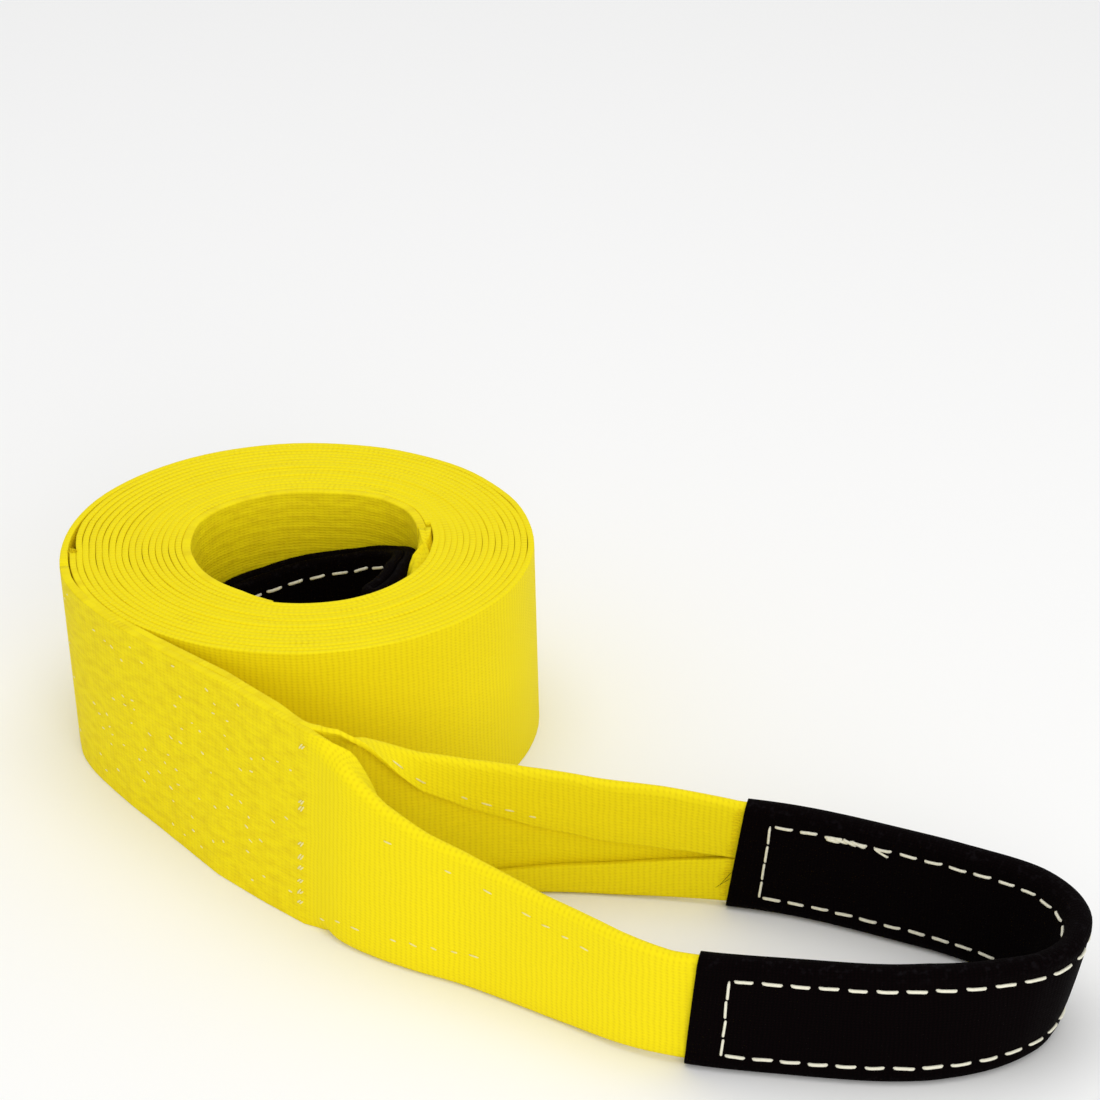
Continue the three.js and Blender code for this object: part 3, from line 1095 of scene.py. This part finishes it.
def sleeve_material():
    """Black cloth, with painted shade in the gaps of its weave. Its marks are the sleeve's ridges, where
    fluff shows together with a painted sheen where the ridges catch the light.
    """
    material, shader = new_material("black_sleeve", 0.85, 0.03)
    wiring = Wiring(material)
    cloth = wiring.cloth_lengths()
    warp, weft = weave_heights(wiring, cloth, SLEEVE_WARP_PITCH, SLEEVE_WEFT_PITCH)
    weave = wiring.math("MULTIPLY", warp, weft)
    wiring.bump(shader, weave, 0.5, 0.2 * MM)
    # Fluff and painted sheen, lighter near the ridges
    fluff_and_sheen = wiring.math("SUBTRACT", wiring.noise(wiring.place(), 700.0, 4.0), 0.54)
    fluff_and_sheen = wiring.math("MULTIPLY", fluff_and_sheen, wiring.math("MULTIPLY", wiring.marks(), 1.8), True)
    # Painted shade in the gaps of the weave
    black = wiring.mix(weave, SHADED_BLACK_GAP, BLACK_CLOTH)
    wiring.put(shader.inputs["Base Color"], wiring.mix(fluff_and_sheen, black, BLACK_FLUFF_AND_SHEEN))
    return material


def thread_material(name, light, dark):
    material, shader = new_material(name, 0.6, 0.25)
    wiring = Wiring(material)
    twist = wiring.noise(wiring.place(), 1700.0, 2.0)
    wiring.put(shader.inputs["Base Color"], wiring.mix(twist, dark, light))
    wiring.bump(shader, twist, 0.6, 0.12 * MM)
    return material


def floor_material():
    material, shader = new_material("floor_white", 0.9, 0.1)
    shader.inputs["Base Color"].default_value = (*FLOOR_WHITE, 1.0)
    return material


# Camera, floor and light

FLOOR_HALF = 6.0
FLOOR_DROP = 0.05 * MM
WORLD_STRENGTH = 0.75

# Each light's name, place, size, power and colour
LIGHTS = (
    ("front_light", (0.2, -1.2, 0.5), 0.7, 5.0, (1.0, 0.985, 0.96)),
    ("top_light", (0.0, 0.1, 1.2), 0.9, 3.0, WHITE),
    ("right_light", (1.1, -0.1, 0.35), 0.6, 0.2, (0.8, 1.0, 0.8)),
)


def make_camera():
    data = bpy.data.cameras.new("camera")
    data.sensor_width = SENSOR_MM
    data.sensor_fit = "HORIZONTAL"
    data.lens = FOCAL_PIXELS / PHOTO_PIXELS * SENSOR_MM
    camera = bpy.data.objects.new("camera", data)
    camera.location = (AXIS[0] + CAMERA_PLACE[0], AXIS[1] + CAMERA_PLACE[1], CAMERA_PLACE[2])
    camera.rotation_euler = (math.radians(90 - CAMERA_PITCH_DEG), 0.0, math.radians(-CAMERA_YAW_DEG))
    bpy.context.scene.collection.objects.link(camera)
    bpy.context.scene.camera = camera


def make_floor():
    signs = ((-1, -1), (1, -1), (1, 1), (-1, 1))
    corners = [(x * FLOOR_HALF, y * FLOOR_HALF, 0) for x, y in signs]
    floor = mesh_piece("floor", corners, [(0, 1, 2, 3)])
    floor.location.z = -FLOOR_DROP
    floor.data.materials.append(floor_material())


def area_light(name, place, size, power, colour):
    data = bpy.data.lights.new(name, "AREA")
    data.shape = "SQUARE"
    data.size = size
    data.energy = power
    data.color = colour
    light = bpy.data.objects.new(name, data)
    light.location = place
    light.rotation_euler = (-Vector(place)).to_track_quat("-Z", "Y").to_euler()
    bpy.context.scene.collection.objects.link(light)


def make_light():
    for light in LIGHTS:
        area_light(*light)
    world = bpy.data.worlds.new("studio")
    world.use_nodes = True
    background = world.node_tree.nodes["Background"]
    background.inputs["Color"].default_value = (*WHITE, 1.0)
    background.inputs["Strength"].default_value = WORLD_STRENGTH
    bpy.context.scene.world = world
    bpy.context.scene.view_settings.view_transform = "Standard"


def finish_piece(piece, material):
    piece.data.materials.append(material)
    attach(piece, "root")


make_camera()
make_floor()
make_light()

yellow = yellow_material()
black = sleeve_material()
cream = thread_material("cream_thread", (0.90, 0.88, 0.74), (0.70, 0.67, 0.52))
white = thread_material("white_thread", (0.84, 0.81, 0.50), (0.82, 0.72, 0.16))

# The webbing

strip, strip_length = make_webbing()
finish_piece(strip, yellow)
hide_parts("webbing")
outer_path = outer_end_path()
web_threads = thread_piece("webbing_thread", lap_stitches(outer_path) + leg_stitches(outer_path), 5)
finish_piece(web_threads, white)
fringe = thread_piece("webbing_fringe", cut_end_fluff(outer_path) + mouth_fringe(outer_path), 4)
finish_piece(fringe, yellow)

# The outer sleeve stands on the folded eye's middle line

covered = (outer_span >= front_mouth) & (outer_span <= back_mouth)
sleeve_line = aside(outer_line, -OUTER_FOLD_PITCH / 2)[covered]
sleeve_foot = column(OUTER_LEANS, outer_span, 1)[covered] * MM
sleeve_head = column(OUTER_LEANS, outer_span, 2)[covered] * MM
sleeve_path = Path(sleeve_line, 1.0, sleeve_foot, sleeve_head, SLEEVE_HEIGHT)
OUTER_SLANTS = (FRONT_MOUTH_SLANT, BACK_MOUTH_SLANT)
outer_sleeve = make_sleeve("outer_sleeve", sleeve_path, OUTER_SLEEVE_DEPTH, SLEEVE_SKIN, OUTER_SLANTS)
finish_piece(outer_sleeve, black)
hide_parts("outer_wear_sleeve")
stitches = sleeve_stitches(sleeve_path, OUTER_SLEEVE_DEPTH, OUTER_SLANTS, (1.0, -1.0))
stitches += back_tack(sleeve_path, OUTER_SLEEVE_DEPTH, -1.0, sleeve_path.span[-1] - TACK_TO_MOUTH)
finish_piece(thread_piece("outer_sleeve_thread", stitches), cream)
finish_piece(thread_piece("sleeve_hairs", black_hairs(outer_path), 4), black)

# The inner sleeve lies doubled against the bore's wall

covered = inner_angles <= INNER_SLEEVE_DEG
inner_sleeve_line = aside(inner_line, INNER_FOLD_PITCH / 2)[covered]
inner_path = Path(inner_sleeve_line, -1.0, lift=inner_lift[covered])
INNER_SLANTS = (0.0, 0.0)
inner_sleeve = make_sleeve("inner_sleeve", inner_path, INNER_SLEEVE_DEPTH, INNER_SLEEVE_SKIN, INNER_SLANTS)
finish_piece(inner_sleeve, black)
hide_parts("inner_wear_sleeve")
inner_stitches = sleeve_stitches(inner_path, INNER_SLEEVE_DEPTH, INNER_SLANTS, (1.0,))
finish_piece(thread_piece("inner_sleeve_thread", inner_stitches), cream)
